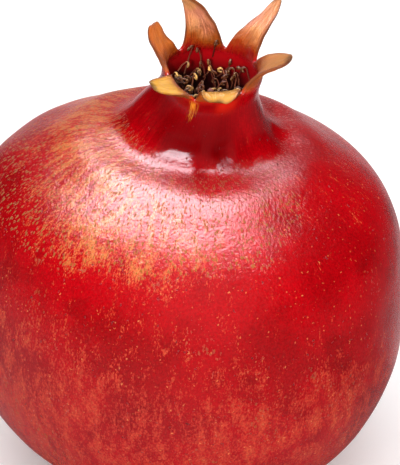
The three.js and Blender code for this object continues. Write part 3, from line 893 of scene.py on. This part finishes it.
def ripe_reds(sheet, spot):
    ripeness = sheet.noise(spot, 60.0, 3.0, 0.55)
    colour = sheet.mix(sheet.mask(ripeness, 0.36, 0.60), DEEP_RED, RIPE_RED)
    dusk = sheet.mask(sheet.noise(spot, 95.0, 2.0, 0.5), 0.56, 0.72, 0.0, 0.45)
    return sheet.mix(dusk, colour, DUSKY_RED)


def body_colours(sheet, spot, lines, rise, flecks, streaks):
    """The body's crimson, blushed and flecked; also the net, the corky dots and the dark scars."""
    blush, sunny, dotted, plain = blush_regions(sheet, spot)
    colour = ripe_reds(sheet, spot)

    # The blush is a fine net of orange and tan that opens on pure red in patches.
    patches = sheet.group(streaks, Vector=lines, Width=2.2, Length=5.0, Detail=3.0)["Grain"]
    net = sheet.group(streaks, Vector=lines, Width=0.36, Length=0.66, Detail=4.0)["Grain"]
    cover = sheet.scaled(blush, 0.30, sheet.scaled(patches, 0.9, -1.14))
    cover = sheet.scaled(plain, -0.09, sheet.plus(cover, net))
    cover = sheet.times(cover, sheet.mask(rise, *NET_FADES, 0.5, 1.0))
    colour = sheet.mix(sheet.mask(cover, -0.06, 0.06), colour, ORANGE_BLUSH)
    colour = sheet.mix(sheet.mask(cover, 0.03, 0.17, 0.0, 0.9), colour, TAN_BLUSH)
    straw = sheet.times(sunny, sheet.mask(cover, 0.06, 0.20, 0.0, 0.8))
    colour = sheet.mix(straw, colour, STRAW_BLUSH)
    speckle = sheet.mask(sheet.noise(spot, 2300.0, 2.0, 0.6), 0.34, 0.62, 0.74, 1.0)
    colour = sheet.mix(1.0, colour, speckle, blend="MULTIPLY")

    # Corky dots on the blush, pale pinpricks up to the neck and a few dark scars.
    long_lines = sheet.stretched(lines, 1.0, 1.0, 0.65)
    dots = sheet.group(flecks, Vector=long_lines, Spacing=0.66, Size=0.36, Softness=0.11, Raggedness=0.9,
                       Sparseness=0.05)["Mask"]
    corks = sheet.times(dots, sheet.mask(sheet.scaled(net, 0.6, dotted), 0.42, 0.78))
    colour = sheet.mix(sheet.times(corks, 0.95), colour, OLIVE_FLECK)
    pale = sheet.group(flecks, Vector=spot, Spacing=0.0011, Size=0.17, Softness=0.12, Raggedness=0.8,
                       Sparseness=0.35)["Mask"]
    pale = sheet.times(pale, sheet.mask(patches, 0.40, 0.56, 0.25, 1.0))
    pale = sheet.times(pale, sheet.mask(rise, *PALE_DOTS_END, 1.0, 0.0))
    colour = sheet.mix(sheet.times(pale, 0.7), colour, PALE_FLECK)
    scars = sheet.group(flecks, Vector=spot, Spacing=0.0018, Size=0.12, Softness=0.07, Raggedness=0.9,
                        Sparseness=0.4)["Mask"]
    colour = sheet.mix(sheet.times(scars, 0.65), colour, DARK_FLECK)
    return colour, net, corks, scars


def neck_colours(sheet, colour, spot, lines, veins, paint, streaks):
    """The neck gets painted shade, darkest down its middle, and darker streaks, with a warm bulge and gold
    that runs from a notch.
    """
    neck = sheet.mask(paint["rise"], *NECK_BEGINS)
    aside = sheet.math("ABSOLUTE", sheet.minus(sheet.parts(spot)["X"], SHADED_NECK_X))
    # painted shade: the neck is darkened most down its middle and below its top
    shaded = sheet.times(neck, sheet.mask(aside, *SHADED_NECK_FADES, 0.9, 0.35))
    shaded = sheet.times(shaded, sheet.mask(paint["rise"], *NECK_TOP, 1.0, 0.8))
    colour = sheet.mix(shaded, colour, NECK_STREAK_AND_SHADE_RED)
    # darker streaks on the neck, in the same colour as its painted shade
    colour = sheet.mix(sheet.times(sheet.times(veins, neck), 0.4), colour, NECK_STREAK_AND_SHADE_RED)
    colour = sheet.mix(paint["bulge"], colour, BULGE_RED)
    runs = sheet.group(streaks, Vector=lines, Width=0.7, Length=3.0, Detail=5.0)["Grain"]
    gold_run = sheet.mask(sheet.scaled(paint["notch"], 0.34, runs), 0.62, 0.88, 0.0, 0.65)
    gold_run = sheet.times(gold_run, sheet.mask(paint["notch"], 0.05, 0.5))
    return sheet.mix(gold_run, colour, sheet.mix(veins, SEPAL_ORANGE, SEPAL_GOLD))


def sepal_colours(sheet, spot, veins, patchy, paint):
    """Red at the base, then tan to orange, with brown edges and dark tips; also the dry part."""
    rise, edge, lining, dryness = (paint[name] for name in ("rise", "edge", "lining", "dryness"))
    reach = sheet.plus(rise, sheet.scaled(patchy, 0.5, -0.25))
    tan = sheet.mix(sheet.mask(sheet.noise(spot, 170.0, 2.0, 0.5), 0.42, 0.66), SEPAL_TAN, SEPAL_PINK)
    dry = sheet.mix(sheet.plus(dryness, sheet.scaled(veins, 0.3, -0.15), clamp=True), tan, SEPAL_ORANGE)
    dry = sheet.mix(paint["gilding"], dry, SEPAL_GOLD)
    dry = sheet.mix(lining, sheet.mix(0.75, dry, SEPAL_ORANGE), dry)
    reached = sheet.scaled(dryness, 0.10, reach)
    fleshy = sheet.mask(reached, 0.02, 0.26)
    sepal = sheet.mix(fleshy, sheet.mix(lining, SEPAL_RED, LINING_RED), SEPAL_BASE)
    sepal = sheet.mix(sheet.mask(reached, 0.18, 0.55), sepal, dry)
    sepal = sheet.mix(sheet.times(veins, 0.22), sepal, SEPAL_BROWN)
    worn = sheet.times(sheet.mask(edge, 0.66, 1.0), sheet.mask(patchy, 0.30, 0.62, 0.35, 0.85))
    sepal = sheet.mix(sheet.times(worn, sheet.mask(rise, 0.02, 0.25)), sepal, SEPAL_BROWN)
    rimmed = sheet.times(sheet.mask(edge, 0.92, 1.0), sheet.mask(rise, 0.02, 0.15))
    sepal = sheet.mix(sheet.times(rimmed, 0.75), sepal, SEPAL_TIP)
    sepal = sheet.mix(sheet.mask(reach, 0.88, 1.08, 0.0, 0.85), sepal, SEPAL_TIP)
    return sepal, fleshy


def lining_colours(sheet, colour, patchy, paint):
    """Inside the calyx the red sinks into painted shade deeper down; also the mask of that inside."""
    # painted shade: the lining darkens deeper in the tube, in patches
    depth = sheet.mask(sheet.plus(paint["rise"], sheet.scaled(patchy, 0.3, -0.15)), *LINING_SHADE_FADES)
    sunk = sheet.times(paint["lining"], sheet.mask(paint["rise"], *RIM_CROSSED, 1.0, 0.0))
    return sheet.mix(sunk, colour, sheet.mix(depth, LINING_SHADE, LINING_RED)), sunk


def make_rind(flecks, streaks):
    material, sheet, surface = new_material("pomegranate_rind")
    spot = sheet.object_place()
    lines = sheet.painted("rind_lines", vector=True)
    paint = {name: sheet.painted(name) for name in RIND_PAINT}
    rise = paint["rise"]
    grain = sheet.noise(spot, 1500.0, 3.0, 0.6)
    patchy = sheet.noise(spot, 260.0, 4.0, 0.6)
    veins = sheet.group(streaks, Vector=lines, Width=0.8, Length=7.0, Detail=4.0, Contrast=0.10,
                        Level=0.5)["Mask"]
    colour, net, corks, scars = body_colours(sheet, spot, lines, rise, flecks, streaks)
    colour = neck_colours(sheet, colour, spot, lines, veins, paint, streaks)
    sepal, fleshy = sepal_colours(sheet, spot, veins, patchy, paint)
    onto_sepal = sheet.mask(rise, *SEPAL_BEGINS)
    colour, sunk = lining_colours(sheet, sheet.mix(onto_sepal, colour, sepal), patchy, paint)

    smooth = sheet.mask(rise, *CREASE, 0.15, 0.11)
    roughness = sheet.scaled(grain, sheet.mask(rise, *CREASE, 0.14, 0.07), smooth)
    roughness = sheet.plus(roughness, sheet.times(sheet.larger(corks, scars), 0.85))
    roughness = sheet.plus(roughness, sheet.times(sheet.times(onto_sepal, fleshy), 0.22))
    roughness = sheet.plus(roughness, sheet.times(sunk, 0.15), clamp=True)

    lumps = sheet.noise(spot, 420.0, 3.0, 0.5)
    height = sheet.scaled(lumps, 0.5, sheet.times(grain, sheet.mask(rise, *CREASE, 0.8, 0.25)))
    height = sheet.scaled(net, sheet.mask(rise, *CREASE, 0.18, 0.08), height)
    height = sheet.plus(height, sheet.times(corks, 0.26))
    height = sheet.minus(height, sheet.times(scars, 0.6))
    height = sheet.plus(height, sheet.times(veins, sheet.times(onto_sepal, 0.8)))
    finish_surface(sheet, surface, colour, roughness, height, RIND_BUMP)
    return material


# ---------- The stamens' and the stalk's finish ----------

FILAMENT_ROOT = srgb(40, 6, 4)
FILAMENT_RED = srgb(112, 38, 24)
FILAMENT_PALE = srgb(196, 120, 86)
ANTHER_BROWN = srgb(80, 36, 12)
ANTHER_STRAW = srgb(230, 176, 96)
ANTHER_DUST = srgb(76, 42, 16)
ANTHER_CRUMBS = srgb(214, 184, 128)
STAMEN_BUMP = 0.00006

BARK_DARK = srgb(78, 50, 28)
BARK_PALE = srgb(150, 108, 66)
CUT_DARK = srgb(138, 102, 66)
CUT_PALE = srgb(186, 152, 108)
CUT_PITH = srgb(84, 54, 34)
CUT_PORES = srgb(70, 42, 24)
STALK_BUMP = 0.00010


def make_dry_stamens(flecks):
    material, sheet, surface = new_material("dry_stamens")
    spot = sheet.object_place()
    tone = sheet.painted("tone")
    grain = sheet.noise(spot, 1500.0, 4.0, 0.65)
    filament = sheet.mix(sheet.painted("along"), FILAMENT_ROOT, FILAMENT_RED)
    filament = sheet.mix(sheet.times(tone, 0.4), filament, FILAMENT_PALE)
    dusty = sheet.mix(sheet.mask(tone, 0.50, 1.0), ANTHER_BROWN, ANTHER_STRAW)
    dusty = sheet.mix(sheet.mask(grain, 0.42, 0.62, 0.0, 0.55), dusty, ANTHER_DUST)
    crumbs = sheet.group(flecks, Vector=spot, Spacing=0.0004, Size=0.35, Softness=0.2, Raggedness=0.6,
                         Sparseness=0.2)["Mask"]
    dusty = sheet.mix(sheet.times(crumbs, 0.4), dusty, ANTHER_CRUMBS)
    colour = sheet.mix(sheet.painted("anther"), filament, dusty)
    height = sheet.scaled(grain, 0.7, sheet.times(crumbs, 0.5))
    finish_surface(sheet, surface, colour, sheet.scaled(grain, 0.25, 0.55), height, STAMEN_BUMP)
    return material


def make_cut_stalk(flecks, streaks):
    material, sheet, surface = new_material("cut_stalk")
    spot = sheet.object_place()
    cut = sheet.painted("cut")
    across = sheet.painted("across")
    in_millimetres = sheet.stretched(spot, 1 / MM, 1 / MM, 1 / MM)
    fibres = sheet.group(streaks, Vector=in_millimetres, Width=0.35, Length=4.0, Detail=5.0, Contrast=0.14,
                         Level=0.5)["Mask"]
    grain = sheet.noise(spot, 1800.0, 5.0, 0.65)
    bark = sheet.mix(fibres, BARK_DARK, BARK_PALE)
    rings = sheet.math("SINE", sheet.scaled(across, 22.0, sheet.times(grain, 5.0)))
    face = sheet.mix(sheet.mask(rings, -0.6, 0.9), CUT_DARK, CUT_PALE)
    face = sheet.mix(sheet.mask(across, 0.12, 0.30, 0.8, 0.0), face, CUT_PITH)
    pores = sheet.group(flecks, Vector=spot, Spacing=0.00045, Size=0.24, Softness=0.12, Raggedness=0.4,
                        Sparseness=0.2)["Mask"]
    face = sheet.mix(sheet.times(pores, 0.6), face, CUT_PORES)
    height = sheet.scaled(fibres, 0.8, sheet.times(grain, 0.6))
    height = sheet.minus(height, sheet.times(pores, sheet.times(cut, 0.8)))
    roughness = sheet.scaled(grain, 0.2, 0.68)
    finish_surface(sheet, surface, sheet.mix(cut, bark, face), roughness, height, STALK_BUMP)
    return material


# ---------- The floor, the light and the camera ----------

WHITE, BLACK = (1, 1, 1, 1), (0, 0, 0, 1)
FLOOR_SHADE = srgb(246, 245, 244)
FLOOR_WHITE = srgb(252, 251, 250)
FLOOR_HALF = 3.0
FLOOR_GLOW = 0.22
FLOOR_BUMP = 0.00002

# the tint of the floor and the backdrop in what the rind mirrors
ROSY_SHEEN = srgb(255, 212, 214)
# a painted pool of light and a painted pale strip on the floor, seen only in the rind's reflections
POOL_CENTRE, POOL_FADES = (-0.09, -0.02, 0.0), (0.10, 0.20)
STRIP_Y, STRIP_RIGHT_X, STRIP_LEFT_X = (0.01, 0.04), (0.085, 0.120), (-0.082, -0.058)
BACKDROP_TOP = (0.08, 0.36)

SOFTBOX_PLACE = (-0.088, 0.315, 0.97)
SOFTBOX_SIZE = (0.895, 0.87)
SOFTBOX_POWER = 7.0
GLOW_POWER = 38.5
GLOW_TINT = (0.97, 0.98, 1.06)
CEILING_PLACE, CEILING_AIM, CEILING_SIZE, CEILING_POWER = (0, -0.20, 1.60), (0, -0.20, 0), (2.4, 2.4), 30.0
FILL_PLACE, FILL_AIM, FILL_SIZE, FILL_POWER = (0.10, -1.25, 0.60), (0, 0, 0.04), (1.8, 1.8), 21.0
CROWN_SPOT_PLACE, CROWN_SPOT_AIM = (-0.15, -1.0, 0.50), (0.010, 0.0, 0.099)
CROWN_CONE, CROWN_POWER, CROWN_SOFTNESS = 5.6, 64.0, 0.03

CAMERA_DISTANCE = 0.600
CAMERA_ELEVATION = 28.0
CAMERA_AIM = (0.00417, 0.00001, 0.053415)
CAMERA_LENS = 224.0
SENSOR_WIDTH = 36.0


def make_pale_floor(backdrop):
    """White to the eye; the rind mirrors only a painted pool of light, the backdrop's foot and a painted pale
    strip.
    """
    material, sheet, surface = new_material("pale_floor")
    spot = sheet.object_place()
    tooth = sheet.noise(spot, 900.0, 3.0, 0.6)
    away = sheet.vector_math("DISTANCE", {0: spot, 1: POOL_CENTRE}, "Value")
    pool = sheet.mask(away, *POOL_FADES, 0.35, 0.01)
    direction = sheet.vector_math("NORMALIZE", {0: spot})
    behind = sheet.times(sheet.group(backdrop, Vector=direction)["Mask"], 0.8)
    ground = sheet.parts(spot)
    right_end = sheet.mask(ground["X"], *STRIP_RIGHT_X, 1.0, 0.0)
    strip = sheet.times(sheet.mask(ground["Y"], *STRIP_Y, 0.0, 0.7), right_end)
    strip = sheet.times(strip, sheet.mask(ground["X"], *STRIP_LEFT_X))
    # painted reflection: what glossy rays see of the floor
    mirrored = sheet.mix(sheet.larger(pool, sheet.larger(behind, strip)), BLACK, ROSY_SHEEN)
    rays = sheet.node("LightPath").outputs
    colour = sheet.mix(rays["Is Glossy Ray"], sheet.mix(tooth, FLOOR_SHADE, FLOOR_WHITE), mirrored)
    surface.inputs["Emission Color"].default_value = WHITE
    glow = sheet.times(rays["Is Camera Ray"], FLOOR_GLOW)
    sheet.tree.links.new(glow, surface.inputs["Emission Strength"])
    finish_surface(sheet, surface, colour, sheet.mask(tooth, 0.0, 1.0, 0.7, 0.9), tooth, FLOOR_BUMP)
    return material


def make_floor(material):
    mesh = bpy.data.meshes.new("floor")
    corners = [(x * FLOOR_HALF, y * FLOOR_HALF, 0) for x, y in ((-1, -1), (1, -1), (1, 1), (-1, 1))]
    mesh.from_pydata(corners, [], [(0, 1, 2, 3)])
    mesh.materials.append(material)
    add_object("floor", mesh)


def place_lamp(light, position, target):
    lamp = add_object(light.name, light)
    lamp.location = position
    lamp.rotation_euler = (Vector(target) - Vector(position)).to_track_quat("-Z", "Y").to_euler()
    return lamp


def add_lamp(name, position, target, size, power, glow=False):
    """A rectangular lamp; a glow only shines back from glossy skin, and the others only light it."""
    light = bpy.data.lights.new(name, "AREA")
    light.shape = "RECTANGLE"
    light.size, light.size_y = size
    light.color = GLOW_TINT if glow else WHITE[:3]
    light.energy = power
    lamp = place_lamp(light, position, target)
    lamp.visible_glossy, lamp.visible_diffuse = glow, not glow


def add_crown_spot():
    """A soft spot from the front that opens up the crown and the neck."""
    light = bpy.data.lights.new("crown_spot", "SPOT")
    light.energy = CROWN_POWER
    light.spot_size = math.radians(CROWN_CONE)
    light.spot_blend = 1.0
    light.shadow_soft_size = CROWN_SOFTNESS
    place_lamp(light, CROWN_SPOT_PLACE, CROWN_SPOT_AIM).visible_glossy = False


def make_lights():
    x, y, _ = SOFTBOX_PLACE
    add_lamp("softbox_glow", SOFTBOX_PLACE, (x, y, 0), SOFTBOX_SIZE, GLOW_POWER, glow=True)
    add_lamp("softbox", SOFTBOX_PLACE, (x, y, 0), SOFTBOX_SIZE, SOFTBOX_POWER)
    add_lamp("ceiling", CEILING_PLACE, CEILING_AIM, CEILING_SIZE, CEILING_POWER)
    add_lamp("front_fill", FILL_PLACE, FILL_AIM, FILL_SIZE, FILL_POWER)
    add_crown_spot()


def make_studio(backdrop):
    """White where the camera looks past the fruit; all that the fruit gets of it is the backdrop."""
    world = bpy.data.worlds.new("studio")
    world.use_nodes = True
    bpy.context.scene.world = world
    sheet = Sheet(world.node_tree)
    background = world.node_tree.nodes["Background"]
    direction = sheet.node("TexCoord").outputs["Generated"]
    parts = sheet.parts(direction)
    low = sheet.mask(sheet.scaled(parts["X"], 0.2, parts["Z"]), *BACKDROP_TOP, 1.0, 0.0)
    card = sheet.times(sheet.group(backdrop, Vector=direction)["Mask"], low)
    seen = sheet.node("LightPath").outputs["Is Camera Ray"]
    strength = sheet.larger(sheet.scaled(card, 0.9, 0.01), seen)
    sheet.tree.links.new(strength, background.inputs["Strength"])
    sheet.tree.links.new(sheet.mix(seen, ROSY_SHEEN, WHITE), background.inputs["Color"])


def make_camera():
    camera = bpy.data.cameras.new("camera")
    camera.lens = CAMERA_LENS
    camera.sensor_width = SENSOR_WIDTH
    camera.sensor_fit = "AUTO"
    camera.clip_start, camera.clip_end = 0.05, 50
    viewer = add_object("camera", camera)
    tilt = math.radians(CAMERA_ELEVATION)
    forward = Vector((0, math.cos(tilt), -math.sin(tilt)))
    viewer.location = Vector(CAMERA_AIM) - forward * CAMERA_DISTANCE
    viewer.rotation_euler = forward.to_track_quat("-Z", "Y").to_euler()
    bpy.context.scene.camera = viewer


def dress(piece, node):
    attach(piece, "root")
    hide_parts(node)


make_camera()
make_lights()
flecks, streaks, backdrop = make_flecks(), make_streaks(), make_backdrop()
make_studio(backdrop)
make_floor(make_pale_floor(backdrop))
dress(make_fruit(make_rind(flecks, streaks)), "fruit")
dress(make_stamens(make_dry_stamens(flecks)), "stamens")
dress(make_stub(make_cut_stalk(flecks, streaks)), "stem_stub")
bpy.context.scene.view_settings.view_transform = "Standard"
